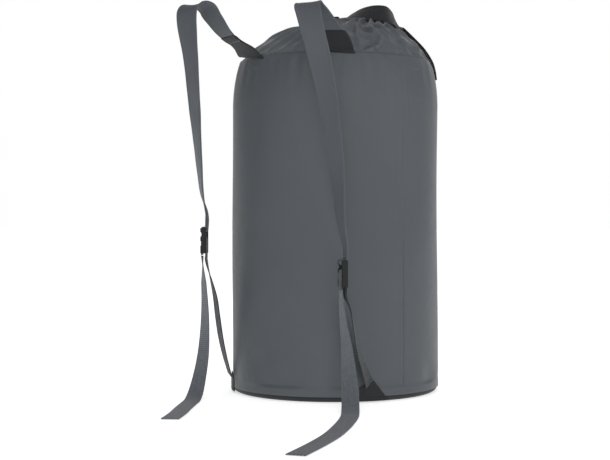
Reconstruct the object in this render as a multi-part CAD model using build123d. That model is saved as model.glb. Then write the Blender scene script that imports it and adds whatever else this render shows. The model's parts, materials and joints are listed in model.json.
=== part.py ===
from build123d import *
from math import cos, pi, radians, sin, sqrt, tan
import os

# Round laundry bag carried on the back: gathered drawcord top, carry handle, two adjustable shoulder straps.
# Millimetres, +Z up. The origin is the centre of the base's underside. The back of the bag, which carries the
# shoulder straps, faces -Y. An azimuth is measured from the back, -Y, and is positive towards +X.

os.makedirs("parts", exist_ok=True)

# ---- driving dimensions -------------------------------------------------------------------------------------
body_radius = 160
fabric = 1.6  # thickness that stands for a coated fabric wall and its seam allowance
base_fabric = 2.0
base_corner = 10  # radius of the turn from the base to the side
base_rim_height = 14  # height to which the base's turned-up edge reaches
straight_height = 437  # the side is a plain cylinder up to here
yoke_height = 508  # seam between the body and the gathered cap
yoke_radius = 149
side_seam_azimuth = 69

cap_rings = [  # centre x, centre y, radius, height of the gathered cap's outer face
    (0, 0, 149, 508),
    (3, 2, 134, 527),
    (4, 3, 113, 546),
    (12, 9, 87, 561),
    (37.4, 33.2, 33, 570.5),
]
mouth = Vector(37.4, 33.2, 570.5)
hem_ring_radius = 25
hem_tube_radius = 4.5
hem_tunnel_radius = 3.2
cord_diameter = 3.5
free_ends_heading = 180  # degrees from +X towards +Y: the way that the drawcord's free ends lie
cord_height = 575.4

strap_width = 40
strap_thickness = 2.0
webbing_width = 25
webbing_thickness = 1.6
handle_width = 32
handle_thickness = 1.8
handle_heading = 30  # degrees from +X towards +Y: the way that the carry handle runs over the mouth

buckle_length = 38
buckle_width = 34
buckle_depth = 9
rail_width = 4
top_bar_radius = 2.2
middle_bar_radius = 2.0
top_bar_rise = 16.5  # above the buckle's middle
middle_bar_rise = 2.0
bottom_bar_drop = 10.0
wrap_gap = 0.4  # between a bar and the webbing round it

strap_cut_height = 536  # a strap swings above this level on its sewn root
webbing_cut_height = 90  # and its webbing above this one
cut_gap = 0.5


def polar(azimuth, radius, height):
    """A point by its azimuth from the back, its distance from the bag's axis, and its height."""
    turn = radians(azimuth)
    return Vector(radius * sin(turn), -radius * cos(turn), height)


def level(angle):
    """A horizontal direction, in degrees from +X towards +Y."""
    return Vector(cos(radians(angle)), sin(radians(angle)), 0)


def save(shape, name):
    """Writes one node."""
    shape.label = name
    export_step(shape, f"parts/{name}.step")


# ---- flat goods ---------------------------------------------------------------------------------------------
def between(values, shares, share):
    """The value at a share of the way, from values at given shares."""
    for low in range(len(shares) - 2, -1, -1):
        if share >= shares[low]:
            part = (share - shares[low]) / (shares[low + 1] - shares[low])
            return values[low] + (values[low + 1] - values[low]) * min(part, 1.0)
    return values[0]


def shares_along(points):
    """How far along the way each point is, as a share of the whole."""
    reached = [0.0]
    for start, end in zip(points, points[1:]):
        reached.append(reached[-1] + (end - start).length)
    return [value / reached[-1] for value in reached]


def ribbon(points, across, widths, thickness, steps, line=None):
    """A band of webbing or folded fabric along a line, flat across the given directions."""
    line = line or Spline(*points)
    shares = shares_along(points)
    sections = []
    for step in range(steps + 1):
        share = step / steps
        centre = line @ share
        along = line % share
        wide = between(across, shares, share)
        wide = (wide - along * wide.dot(along)).normalized()
        deep = along.cross(wide).normalized() * (thickness / 2)
        half = wide * (between(widths, shares, share) / 2)
        corners = [centre + half + deep, centre - half + deep, centre - half - deep, centre + half - deep]
        sections.append(Wire.make_polygon(corners, close=True))
    return Solid.make_loft(sections, ruled=True)


def cord_line(points, name):
    """Straight runs joined by tangent arcs, each as large as its two runs allow."""
    radii = []
    for before, corner, after in zip(points, points[1:], points[2:]):
        run_in = corner - before
        run_out = after - corner
        half_turn = radians(run_in.get_angle(run_out)) / 2
        radii.append(0.45 * min(run_in.length, run_out.length) / tan(half_turn))
    print(name, "radii", [round(radius) for radius in radii])
    return FilletPolyline(*points, radius=radii)


# ---- body ---------------------------------------------------------------------------------------------------
def lathe(outline, start=0.0, arc=360.0):
    """Turns a closed outline in the XZ plane about Z, from an angle measured from +X."""
    turned = revolve(make_face(outline), axis=Axis.Z, revolution_arc=arc)
    return Rot(0, 0, start) * turned


def shoulder_radius(height, inset):
    """The side's radius where it leans in towards the yoke seam."""
    rise = yoke_height - straight_height
    lean = body_radius - yoke_radius
    bend = (rise**2 + lean**2) / (2 * lean)
    return body_radius - bend + sqrt((bend - inset) ** 2 - (height - straight_height) ** 2)


def side_outline(inset):
    """The side's curve from the base rim to the yoke seam, as far inside the outer face as inset says."""
    middle = (straight_height + yoke_height) / 2
    low = (body_radius - inset, base_rim_height)
    bend_start = (body_radius - inset, straight_height)
    bend_middle = (shoulder_radius(middle, inset), middle)
    top = (shoulder_radius(yoke_height, inset), yoke_height)
    return low, bend_start, bend_middle, top


def side_panel(start_azimuth, end_azimuth):
    """A fabric panel of the side between two azimuths."""
    outer = [(x, 0, z) for x, z in side_outline(0)]
    inner = [(x, 0, z) for x, z in side_outline(fabric)]
    outline = [
        Line(outer[0], outer[1]),
        ThreePointArc(outer[1], outer[2], outer[3]),
        Line(outer[3], inner[3]),
        ThreePointArc(inner[3], inner[2], inner[1]),
        Line(inner[1], inner[0]),
        Line(inner[0], outer[0]),
    ]
    return lathe(outline, start_azimuth - 90, end_azimuth - start_azimuth)


def make_base():
    """The black round base, with its edge turned up to the side panels."""
    flat = body_radius - base_corner
    inner_corner = base_corner - base_fabric
    lean = 1 - cos(pi / 4)
    outline = [
        Line((0, 0, 0), (flat, 0, 0)),
        ThreePointArc(
            (flat, 0, 0),
            (body_radius - base_corner * lean, 0, base_corner * lean),
            (body_radius, 0, base_corner),
        ),
        Line((body_radius, 0, base_corner), (body_radius, 0, base_rim_height)),
        Line((body_radius, 0, base_rim_height), (body_radius - base_fabric, 0, base_rim_height)),
        Line((body_radius - base_fabric, 0, base_rim_height), (body_radius - base_fabric, 0, base_corner)),
        ThreePointArc(
            (body_radius - base_fabric, 0, base_corner),
            (body_radius - base_fabric - inner_corner * lean, 0, base_fabric + inner_corner * lean),
            (flat, 0, base_fabric),
        ),
        Line((flat, 0, base_fabric), (0, 0, base_fabric)),
        Line((0, 0, base_fabric), (0, 0, 0)),
    ]
    return lathe(outline)


def tape(radius_low, radius_high, bottom, top, start_azimuth=0.0, arc=360.0):
    """A strip of binding tape inside the bag, sewn over a seam allowance."""
    thick = 1.3
    outline = Polyline(
        (radius_low - thick, 0, bottom),
        (radius_low, 0, bottom),
        (radius_high, 0, top),
        (radius_high - thick, 0, top),
        close=True,
    )
    return lathe(outline, start_azimuth - 90, arc)


def frusta(rings, inset, drop):
    """Cones joined ring to ring."""
    circles = []
    for index, (x, y, radius, height) in enumerate(rings):
        lowered = 0 if index == 0 else drop
        circle = Wire.make_circle(radius - inset, Plane((x, y, height - lowered)))
        circles.append(circle)
    return Solid.make_loft(circles, ruled=True)


def make_cap():
    """The gathered fabric cap between the yoke seam and the mouth, open at the mouth."""
    outer = frusta(cap_rings, 0, 0)
    inner = frusta(cap_rings, fabric, fabric)
    hole = Pos(mouth.X, mouth.Y, mouth.Z) * Cylinder(hem_ring_radius - 0.5, 12)
    return outer - inner - hole


def outer_hull():
    """The whole bag as one solid, a little larger than it is, for trimming what is sewn on its outside."""
    margin = 0.25
    outer = [(x + margin, 0, z) for x, z in side_outline(0)]
    outline = [
        Line(outer[0], outer[1]),
        ThreePointArc(outer[1], outer[2], outer[3]),
        Line(outer[3], (0, 0, yoke_height)),
        Line((0, 0, yoke_height), (0, 0, base_rim_height)),
        Line((0, 0, base_rim_height), outer[0]),
    ]
    return lathe(outline) + frusta(cap_rings, -margin, -margin)


# ---- mouth hem, drawcord and cord lock: made with the cord's free ends along +X, then turned into place ------
def at_mouth(shape):
    """Moves a piece from the mouth's own frame, whose +X is the way the free ends lie, to the bag."""
    return Pos(mouth.X, mouth.Y, 0) * Rot(0, 0, free_ends_heading) * shape


eyelet_spread = 5.0  # each side of the middle
lock_distance = 54.0  # from the mouth's centre
lock_radius = 7.0
lock_bottom = 569.8
lock_top = 584.3
lock_cord_height = 577.85
button_travel = 2.2
button_bottom = 574.2
button_top = 588.2
bore_half_width = 4.6
knot_distance = 86.5
free_end_route = [
    (30.9, 5.0, 575.4),
    (37.0, 3.3, 576.5),
    (46.0, 2.15, 577.7),
    (62.0, 2.2, 577.9),
    (82.0, 2.8, 577.4),
]


def make_hem():
    """The hem round the mouth: a hollow tunnel, with two holes where the drawcord comes out."""
    tunnel = Torus(hem_ring_radius, hem_tube_radius) - Torus(hem_ring_radius, hem_tunnel_radius)
    for side in (-1, 1):
        tunnel -= Pos(28.5, side * eyelet_spread, 0) * Rot(0, 90, 0) * Cylinder(2.2, 6)
    return at_mouth(Pos(0, 0, cord_height) * tunnel)


def make_eyelets():
    """Two small round eyelets where the drawcord leaves the hem."""
    rings = []
    for side in (-1, 1):
        ring = Cylinder(3.3, 1.0) - Cylinder(2.1, 1.0)
        rings.append(Pos(30.2, side * eyelet_spread, cord_height) * Rot(0, 90, 0) * ring)
    return at_mouth(rings[0] + rings[1])


def make_drawcord_loop():
    """The stretch of drawcord inside the hem, from one eyelet round to the other."""
    turns = [43, 73.4, 103.8, 134.2, 164.6]
    half = [(30.5, eyelet_spread), (24.2, 5.4)]
    half += [(hem_ring_radius * cos(radians(turn)), hem_ring_radius * sin(radians(turn))) for turn in turns]
    points = [Vector(x, y, cord_height) for x, y in half]
    points += [Vector(x, -y, cord_height) for x, y in reversed(half)]
    line = cord_line(points, "drawcord loop")
    tube = sweep(Plane(line @ 0, z_dir=line % 0) * Circle(cord_diameter / 2), path=line)
    return at_mouth(tube)


def make_drawcord_end(side):
    """A free end of the drawcord, from its eyelet through the cord lock to the knot."""
    points = [Vector(x, side * y, z) for x, y, z in free_end_route]
    line = cord_line(points, "drawcord end")
    tube = sweep(Plane(line @ 0, z_dir=line % 0) * Circle(cord_diameter / 2), path=line)
    print("drawcord end", round(line.length, 1), "mm, volume share",
          round(tube.volume / (pi * cord_diameter**2 / 4 * line.length), 4))
    return at_mouth(tube)


def make_knot():
    """The knot that joins the two free ends."""
    flat = free_end_route[-1][0] + 0.4
    knot = Pos(knot_distance, 0, 0) * (Sphere(4.6) + Pos(3.2, 0, 0) * Sphere(3.6))
    knot -= Pos(flat - 10, 0, 0) * Box(20, 20, 20)
    return at_mouth(Pos(0, 0, free_end_route[-1][2]) * knot)


def make_lock_barrel():
    """The barrel of the cord lock, with a bore up its middle and a way through for the two cords."""
    barrel = extrude(Circle(lock_radius), lock_top - lock_bottom)
    barrel = fillet(barrel.edges().group_by(Axis.Z)[0], 1.0)
    barrel -= Pos(0, 0, 0.9) * extrude(Circle(5.0), 20)
    bore_height = lock_cord_height - lock_bottom
    barrel -= Pos(0, 0, bore_height) * Box(3 * lock_radius, 2 * bore_half_width, cord_diameter + 1.0)
    return at_mouth(Pos(lock_distance, 0, lock_bottom) * barrel)


def make_lock_button():
    """The sprung plunger of the cord lock, with its own way through for the two cords."""
    slot_low = lock_cord_height - cord_diameter / 2 - 0.4
    slot_high = lock_cord_height + cord_diameter / 2 + button_travel + 0.4
    plunger = Pos(0, 0, button_bottom) * extrude(Circle(4.7), button_top - button_bottom)
    plunger = fillet(plunger.edges().group_by(Axis.Z)[-1], 0.9)
    slot = Pos(0, 0, (slot_low + slot_high) / 2) * Box(20, 2 * bore_half_width - 0.4, slot_high - slot_low)
    return at_mouth(Pos(lock_distance, 0, 0) * (plunger - slot))


def make_lock_spring():
    """The spring under the plunger, as the tube that its coil fills."""
    low = lock_bottom + 0.95
    high = button_bottom - 0.05
    spring = extrude(Circle(3.6) - Circle(2.6), high - low)
    return at_mouth(Pos(lock_distance, 0, low) * spring)


# ---- carry handle: placed by how far along its heading, how far towards the back, and its height -------------
handle_route = [  # along, towards the back, height, tilt of the band in degrees
    (-14, 13, 569.2, 0),
    (-4, 13, 570.4, 0),
    (5, 13.8, 571.9, 1),
    (12, 15, 574.6, 4),
    (23, 19.5, 578.9, 20),
    (37.6, 26.5, 581.4, 40),
    (54, 33, 582.2, 54),
    (68.7, 36, 582, 58),
    (79.7, 34, 580.5, 57),
    (88.9, 26.5, 575.4, 45),
    (94.8, 18.6, 569.4, 25),
    (99.0, 14, 564.6, 8),
    (104.4, 11.5, 561.0, 0),
    (119.4, 7, 547.6, 0),
    (138.6, -1.5, 529.2, 0),
    (150.6, -5.5, 511.5, 0),
    (155.6, -7, 498, 0),
    (158.0, -8, 484, 0),
]
# The handle lifts about the line between these two places, which runs under its far edge.
hinge_start_place = (14.5, -1, 571)
hinge_end_place = (97, -1, 562.8)


def along_handle(along, back, height):
    """A point by its distance along the handle's heading, towards the back, and up."""
    return level(handle_heading) * along + level(handle_heading - 90) * back + Vector(0, 0, height)


def make_handle_pieces():
    """The carry handle's two ends, which are sewn down, and its free middle."""
    points = [along_handle(along, back, height) for along, back, height, _ in handle_route]
    across = []
    for _, _, _, tilt in handle_route:
        across.append(level(handle_heading - 90) * cos(radians(tilt)) - Vector(0, 0, sin(radians(tilt))))
    band = ribbon(points, across, [handle_width] * len(points), handle_thickness, 60)
    band -= outer_hull()
    start = along_handle(*hinge_start_place)
    end = along_handle(*hinge_end_place)
    span = (end - start).length
    middle = Plane((start + end) / 2, z_dir=end - start)
    free = band & (middle * Box(200, 200, span))
    ends = (band - (middle * Box(200, 200, span + 2 * cut_gap))).solids().sort_by(Axis.X)
    print("handle hinge from", start, "to", end)
    return ends[0], free, ends[-1]


# ---- shoulder straps ----------------------------------------------------------------------------------------
# A direction across is in degrees from +X towards +Y. Each route row is azimuth, radius, height, direction across.
strap_routes = {  # azimuth, radius, height, direction across, width
    "right": [
        (28, 150.8, 508.5, 28, 70),
        (28.4, 160, 522, 28, 54),
        (27, 169, 535, 23, 40),
        (23.5, 186, 551, 12, 40),
        (21.2, 200, 563, 5, 40),
        (20.2, 214, 567.5, 2, 40),
        (20.4, 227, 560, 0, 40),
        (21.7, 231, 536, -3, 40),
        (24.5, 227, 490, -9, 40),
        (27.5, 221, 431, -18, 40),
        (30.5, 213, 340, -29, 40),
        (32.2, 208, 266, -40, 36),
    ],
    "left": [
        (-28, 150.8, 508.5, -28, 70),
        (-26.8, 163, 519, -28, 54),
        (-26.2, 178, 527, -30, 40),
        (-26.7, 196, 541, -27, 40),
        (-27.8, 211, 560, -21, 40),
        (-28.7, 222, 575, -17, 40),
        (-29.5, 236, 579.5, -15, 40),
        (-29.6, 248, 573, -15, 40),
        (-29.7, 252, 556, -17, 40),
        (-29.8, 245, 499, -27, 40),
        (-31, 238, 441, -34, 40),
        (-33.8, 227, 368, -42, 40),
        (-36.9, 217, 304, -51, 37),
    ],
}
buckle_places = {  # azimuth, radius, height and direction across
    "right": (33.1, 203.6, 188, -50),
    "left": (-40.4, 209.5, 233, -60),
}
# The anchor webbing from the black tab up towards the back of the buckle.
anchor_routes = {
    "right": [
        (47.4, 165.5, 27, 49),
        (44, 171, 50, 62),
        (40.8, 177, 77, 84),
        (38.6, 183, 107, 104),
        (36.6, 191.5, 134, 121),
    ],
    "left": [
        (-49, 165, 26, -49),
        (-46.5, 174, 56, -50),
        (-44.5, 181.5, 87, -51),
        (-43, 187, 119, -53),
        (-41.8, 192.5, 152, -56),
    ],
}
run_turns = {"right": 180, "left": 0}  # the right run twists the other way up to its buckle
# The free tail of the webbing, from below the buckle to the floor.
tail_routes = {
    "right": [
        (32.8, 208, 126, -39),
        (34.3, 210, 92, -25),
        (35.0, 214, 58, -11),
        (35.2, 231, 24, 1),
        (34.6, 264, 1.2, 13),
        (33.6, 307, 1.2, 21),
        (32.1, 356, 1.2, 21),
        (30.8, 403, 1.2, 20),
        (29.6, 449, 1.2, 18),
        (28.2, 495, 1.2, 15),
        (26.9, 540, 1.2, 12),
        (25.7, 583, 1.2, 11),
    ],
    "left": [
        (-39.8, 211, 170, -52),
        (-39.2, 209.5, 134, -43),
        (-38.4, 210.5, 98, -31),
        (-37.6, 214, 60, -17),
        (-34.4, 225, 25, -3),
        (-28.0, 244, 1.2, 11),
        (-19.9, 274, 1.2, 23),
        (-13.0, 311, 1.2, 28),
        (-8.0, 346, 1.2, 29),
        (-4.5, 384, 1.2, 25),
    ],
}
tab_azimuths = {"right": 50.5, "left": -50.5}


def buckle_plane(side):
    """The buckle's own frame: x across, y up, z away from the strap's inner face."""
    azimuth, radius, height, across = buckle_places[side]
    return Plane(polar(azimuth, radius, height), x_dir=level(across), z_dir=level(across - 90))


def in_buckle(side, up, out):
    """A point on the buckle's middle plane, by its height and how far it is out towards the tail."""
    plane = buckle_plane(side)
    return plane.origin + plane.y_dir * up + plane.z_dir * out


def make_buckle(side):
    """A ladder lock: two rails, a bar for the strap, a bar for the webbing, a gripping bar and a lift tab."""
    rail_place = (buckle_width - rail_width) / 2
    rail = fillet(Box(rail_width, buckle_length, buckle_depth).edges(), 1.2)
    for up in (9.5, -4.0):
        rail -= Pos(0, up, 7.6) * Rot(0, 90, 0) * Cylinder(5, 2 * rail_width)
    frame = Pos(-rail_place, 0, 0) * rail + Pos(rail_place, 0, 0) * rail
    span = buckle_width - rail_width
    along_x = Rot(0, 90, 0)
    frame += Pos(0, top_bar_rise, 0) * along_x * Cylinder(top_bar_radius, span)
    frame += Pos(0, middle_bar_rise, 0) * along_x * Cylinder(middle_bar_radius, span)
    frame += Pos(0, -bottom_bar_drop, 0) * Box(span, 4, 3.6)
    for tooth in (-1.2, 1.2):
        frame -= Pos(0, -bottom_bar_drop + tooth, 1.8) * Rot(45, 0, 0) * Box(span - 4, 0.8, 0.8)
    tab = Pos(0, -buckle_length / 2 + 3.5, 0) * fillet(Box(span, 7, 3).edges().filter_by(Axis.Z), 2.0)
    frame += tab
    return buckle_plane(side) * frame


def make_strap(side):
    """A shoulder strap: its black sewn root, and its free length down to a loop round the buckle's top bar."""
    route = strap_routes[side]
    points = [polar(azimuth, radius, height) for azimuth, radius, height, _, _ in route]
    across = [level(angle) for _, _, _, angle, _ in route]
    widths = [width for _, _, _, _, width in route]
    loop_inner = top_bar_radius + wrap_gap
    loop_middle = loop_inner + strap_thickness / 2
    for up, width in ((top_bar_rise + 22, 28), (top_bar_rise - 0.6, webbing_width - 1)):
        points.append(in_buckle(side, up, -loop_middle))
        across.append(level(buckle_places[side][3]))
        widths.append(width)
    band = ribbon(points, across, widths, strap_thickness, 60)
    loop = Cylinder(loop_inner + strap_thickness, webbing_width - 1) - Cylinder(loop_inner, webbing_width - 1)
    loop = buckle_plane(side) * (Pos(0, top_bar_rise, 0) * Rot(0, 90, 0) * loop)
    root_zone = Pos(0, 0, strap_cut_height - 40) * Cylinder(195, 80)
    root = (band & root_zone) - outer_hull()
    free = band - (Pos(0, 0, cut_gap) * root_zone)
    return root, free + loop


back_leg = 27.0  # webbing that lies straight behind the buckle, below its middle bar
front_leg = 23.0


def make_webbing(side):
    """The webbing from the black tab to the buckle, up over the buckle's middle bar and down its front."""
    route = anchor_routes[side]
    points = [polar(azimuth, radius, height) for azimuth, radius, height, _ in route]
    across = [level(angle) for _, _, _, angle in route]
    inner = middle_bar_radius + wrap_gap
    outer = inner + webbing_thickness
    middle = (inner + outer) / 2
    lowest = middle_bar_rise - back_leg
    for up, out in ((lowest - 9, -middle - 0.8), (lowest + 1, -middle)):
        points.append(in_buckle(side, up, out))
        across.append(level(buckle_places[side][3] + run_turns[side]))
    run = ribbon(points, across, [webbing_width] * len(points), webbing_thickness, 34)
    over = Cylinder(outer, webbing_width) - Cylinder(inner, webbing_width)
    over = Rot(0, 90, 0) * over
    over &= Pos(0, outer, 0) * Box(webbing_width, 2 * outer, 3 * outer)
    legs = Pos(0, -back_leg / 2, -middle) * Box(webbing_width, back_leg, webbing_thickness)
    legs += Pos(0, -front_leg / 2, middle) * Box(webbing_width, front_leg, webbing_thickness)
    wrap = buckle_plane(side) * (Pos(0, middle_bar_rise, 0) * (over + legs))
    foot_zone = Pos(0, 0, webbing_cut_height / 2) * Box(600, 600, webbing_cut_height)
    foot = run & foot_zone
    return foot, (run - (Pos(0, 0, cut_gap) * foot_zone)) + wrap


def make_tail(side):
    """The free tail of the webbing, which hangs from the buckle and lies out on the floor."""
    route = tail_routes[side]
    middle = middle_bar_radius + wrap_gap + webbing_thickness / 2
    points = [in_buckle(side, middle_bar_rise - front_leg - 2.0, middle)]
    points += [polar(azimuth, radius, height) for azimuth, radius, height, _ in route]
    across = [level(buckle_places[side][3])] + [level(angle) for _, _, _, angle in route]
    line = cord_line(points, f"webbing tail {side}")
    tail = ribbon(points, across, [webbing_width] * len(points), webbing_thickness, 44, line)
    print("webbing tail", side, round(line.length, 1), "mm, volume share",
          round(tail.volume / (webbing_width * webbing_thickness * line.length), 4))
    return tail


def make_tab(side):
    """The black corner tab that holds the webbing at the foot of the bag."""
    mirror_side = 1 if side == "right" else -1
    corners = [(-22, 2.5), (-22, 21), (0, 31), (23, 2.5)]
    outline = Polyline(*[(mirror_side * x, z) for x, z in corners], close=True)
    prism = extrude(make_face(Plane.XZ * outline), body_radius + 20, dir=(0, -1, 0))
    low = body_radius + 0.1
    shell = extrude(Circle(low + fabric) - Circle(low), 40)
    return Rot(0, 0, tab_azimuths[side]) * (shell & prism)


# ---- write every node -----------------------------------------------------------------------------------------
save(make_base(), "base_panel")
save(tape(157.9, 157.9, 15, 25), "bottom_seam_tape")
save(side_panel(-side_seam_azimuth, side_seam_azimuth), "back_panel")
save(side_panel(side_seam_azimuth, 360 - side_seam_azimuth), "front_panel")
for side_name, azimuth in (("left", -side_seam_azimuth), ("right", side_seam_azimuth)):
    save(tape(158.3, 158.3, 28, 430, azimuth - 2.5, 5), f"side_seam_tape_{side_name}")
save(tape(150.2, 148.0, 496, 505), "yoke_seam_tape")
save(make_cap(), "gathered_cap")
save(make_hem(), "mouth_hem")
save(make_eyelets(), "drawcord_eyelets")
save(make_drawcord_loop(), "drawcord_loop")
save(make_drawcord_end(1), "drawcord_end_back")
save(make_drawcord_end(-1), "drawcord_end_front")
save(make_knot(), "drawcord_knot")
save(make_lock_barrel(), "cord_lock_barrel")
save(make_lock_button(), "cord_lock_button")
save(make_lock_spring(), "cord_lock_spring")
handle_names = ("handle_end_inner", "carry_handle", "handle_end_outer")
for piece, name in zip(make_handle_pieces(), handle_names):
    save(piece, name)
for side_name in ("left", "right"):
    strap_root, strap_free = make_strap(side_name)
    save(strap_root, f"strap_anchor_{side_name}")
    save(strap_free, f"shoulder_strap_{side_name}")
    save(make_buckle(side_name), f"ladder_lock_{side_name}")
    webbing_foot, webbing_free = make_webbing(side_name)
    save(webbing_foot, f"webbing_foot_{side_name}")
    save(webbing_free, f"adjuster_webbing_{side_name}")
    save(make_tail(side_name), f"webbing_tail_{side_name}")
    save(make_tab(side_name), f"corner_tab_{side_name}")
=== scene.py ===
import bmesh
import bpy
import json
import numpy as np
from math import radians
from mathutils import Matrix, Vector


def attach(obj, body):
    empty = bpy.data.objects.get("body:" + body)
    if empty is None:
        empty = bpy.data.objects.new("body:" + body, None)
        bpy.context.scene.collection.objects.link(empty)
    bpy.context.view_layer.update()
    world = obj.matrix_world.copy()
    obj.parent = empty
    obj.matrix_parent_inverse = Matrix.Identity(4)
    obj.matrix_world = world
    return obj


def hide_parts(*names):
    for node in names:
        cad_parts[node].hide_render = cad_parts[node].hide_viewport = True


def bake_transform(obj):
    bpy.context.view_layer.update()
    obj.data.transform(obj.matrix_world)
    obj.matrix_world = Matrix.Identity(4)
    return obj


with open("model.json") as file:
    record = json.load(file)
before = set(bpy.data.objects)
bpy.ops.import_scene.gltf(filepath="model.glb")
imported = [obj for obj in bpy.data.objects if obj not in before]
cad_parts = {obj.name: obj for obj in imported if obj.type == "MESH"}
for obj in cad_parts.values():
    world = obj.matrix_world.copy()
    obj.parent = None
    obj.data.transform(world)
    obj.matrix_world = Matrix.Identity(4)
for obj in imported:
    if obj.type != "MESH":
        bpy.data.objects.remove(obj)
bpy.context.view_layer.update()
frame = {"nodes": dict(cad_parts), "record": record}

MM = 0.001
cloth_thickness = 0.9 * MM
nodes = frame["nodes"]

# ---- camera, light and floor ---------------------------------------------------------------------
camera_azimuth = radians(30)
camera_distance = 2.0
camera_height = 0.2565


def make_camera():
    """A level view, 30 degrees round from the back, with the bag a little right of the middle."""
    data = bpy.data.cameras.new("camera")
    data.lens = 75.4
    data.sensor_width = 36
    data.shift_x = -0.0492
    data.shift_y = -0.0082
    camera = bpy.data.objects.new("camera", data)
    camera.location = (camera_distance * np.sin(camera_azimuth), -camera_distance * np.cos(camera_azimuth),
                       camera_height)
    camera.rotation_euler = (radians(90), 0, camera_azimuth)
    bpy.context.collection.objects.link(camera)
    bpy.context.scene.camera = camera


def area_light(name, place, size, power, tint=(1, 1, 1)):
    """A soft panel that faces the bag's middle."""
    data = bpy.data.lights.new(name, "AREA")
    data.shape = "SQUARE"
    data.size = size
    data.energy = power
    data.color = tint
    light = bpy.data.objects.new(name, data)
    light.location = place
    light.rotation_euler = (Vector((0, 0, 0.3)) - Vector(place)).to_track_quat("-Z", "Y").to_euler()
    bpy.context.collection.objects.link(light)


def make_stage():
    """A plain pale floor, a pale surround and soft studio light."""
    half = 60.0
    floor = mesh_object("floor", [(-half, -half, 0), (half, -half, 0), (half, half, 0), (-half, half, 0)],
                        [(0, 1, 2, 3)])
    floor.location.z = -0.0005
    paint = bpy.data.materials.new("floor_paint")
    paint.use_nodes = True
    surface = paint.node_tree.nodes["Principled BSDF"]
    surface.inputs["Base Color"].default_value = (0.94, 0.94, 0.94, 1)
    surface.inputs["Emission Color"].default_value = (1, 1, 1, 1)
    surface.inputs["Emission Strength"].default_value = 0.6
    surface.inputs["Roughness"].default_value = 0.9
    floor.data.materials.append(paint)
    world = bpy.data.worlds.new("studio")
    world.use_nodes = True
    tree = world.node_tree
    direction = add(tree, "ShaderNodeTexCoord").outputs["Generated"]
    towards_right = add(tree, "ShaderNodeVectorMath", operation="DOT_PRODUCT")
    tree.links.new(direction, towards_right.inputs[0])
    towards_right.inputs[1].default_value = (0.866, 0.5, 0)
    fall = add(tree, "ShaderNodeMapRange", interpolation_type="SMOOTHSTEP")
    tree.links.new(towards_right.outputs["Value"], fall.inputs["Value"])
    for socket, value in (("From Min", -0.95), ("From Max", -0.22), ("To Min", 0.12), ("To Max", 1.0)):
        fall.inputs[socket].default_value = value
    split = add(tree, "ShaderNodeSeparateXYZ")
    tree.links.new(direction, split.inputs[0])
    overhead = add(tree, "ShaderNodeMapRange", interpolation_type="SMOOTHSTEP")
    tree.links.new(split.outputs[2], overhead.inputs["Value"])
    for socket, value in (("From Min", 0.25), ("From Max", 0.9), ("To Min", 1.0), ("To Max", 0.55)):
        overhead.inputs[socket].default_value = value
    far_right = add(tree, "ShaderNodeMapRange", interpolation_type="SMOOTHSTEP")
    tree.links.new(towards_right.outputs["Value"], far_right.inputs["Value"])
    for socket, value in (("From Min", 0.3), ("From Max", 0.95), ("To Min", 1.0), ("To Max", 0.1)):
        far_right.inputs[socket].default_value = value
    strength = math_node(tree, "MULTIPLY", fall.outputs["Result"], overhead.outputs["Result"])
    strength = math_node(tree, "MULTIPLY", strength, far_right.outputs["Result"])
    tree.links.new(strength, tree.nodes["Background"].inputs["Strength"])
    tree.nodes["Background"].inputs["Color"].default_value = (1, 1, 1, 1)
    bpy.context.scene.world = world
    bpy.context.scene.view_settings.view_transform = "Standard"
    area_light("key", (2.6, 0.5, 1.3), 1.2, 8)
    area_light("back_rim", (-1.2, 2.6, 1.6), 1.4, 10)
    area_light("front", (1.9, -2.6, 1.8), 2.4, 22)


# ---- mesh helpers --------------------------------------------------------------------------------
def mesh_object(name, points, faces, uv=None):
    """A smooth-shaded mesh object; uv gives one pair for each vertex."""
    mesh = bpy.data.meshes.new(name)
    mesh.from_pydata([tuple(map(float, p)) for p in points], [], [tuple(f) for f in faces])
    mesh.validate()
    if uv is not None:
        layer = mesh.uv_layers.new(name="weave")
        index = np.zeros(len(mesh.loops), dtype=int)
        mesh.loops.foreach_get("vertex_index", index)
        layer.data.foreach_set("uv", np.array(uv, dtype=float)[index].ravel())
    mesh.shade_smooth()
    piece = bpy.data.objects.new(name, mesh)
    bpy.context.collection.objects.link(piece)
    return piece


def grid_faces(rows, columns, wrap=False):
    """Quads of a grid of rows x columns vertices; wrap joins the last column to the first."""
    faces = []
    for i in range(rows - 1):
        for j in range(columns if wrap else columns - 1):
            k = (j + 1) % columns
            faces.append((i * columns + j, i * columns + k, (i + 1) * columns + k, (i + 1) * columns + j))
    return faces


def smooth_rows(rows, count):
    """A smooth curve through the rows' columns, evenly spaced by the distance of the first three."""
    rows = np.array(rows, dtype=float)
    padded = np.vstack([2 * rows[0] - rows[1], rows, 2 * rows[-1] - rows[-2]])
    fine = []
    for i in range(1, len(padded) - 2):
        a, b, c, d = padded[i - 1:i + 3]
        for t in np.linspace(0, 1, 24, endpoint=False):
            fine.append(0.5 * (2 * b + (c - a) * t + (2 * a - 5 * b + 4 * c - d) * t**2
                               + (3 * b - a - 3 * c + d) * t**3))
    fine.append(rows[-1])
    fine = np.array(fine)
    reach = running_length(fine[:, :3])
    even = np.linspace(0, reach[-1], count)
    return np.column_stack([np.interp(even, reach, fine[:, k]) for k in range(fine.shape[1])])


def running_length(points):
    """How far along the line each of its points is."""
    return np.concatenate([[0], np.cumsum(np.linalg.norm(np.diff(points, axis=0), axis=1))])


def place(azimuth, radius, height):
    """Metres from an azimuth from the back in degrees, a radius and a height in millimetres."""
    turn = np.radians(azimuth)
    return np.array([radius * np.sin(turn), -radius * np.cos(turn), height]) * MM


def level(angle):
    """A horizontal direction, in degrees from +X towards +Y."""
    return np.array([np.cos(np.radians(angle)), np.sin(np.radians(angle)), 0.0])


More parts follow.
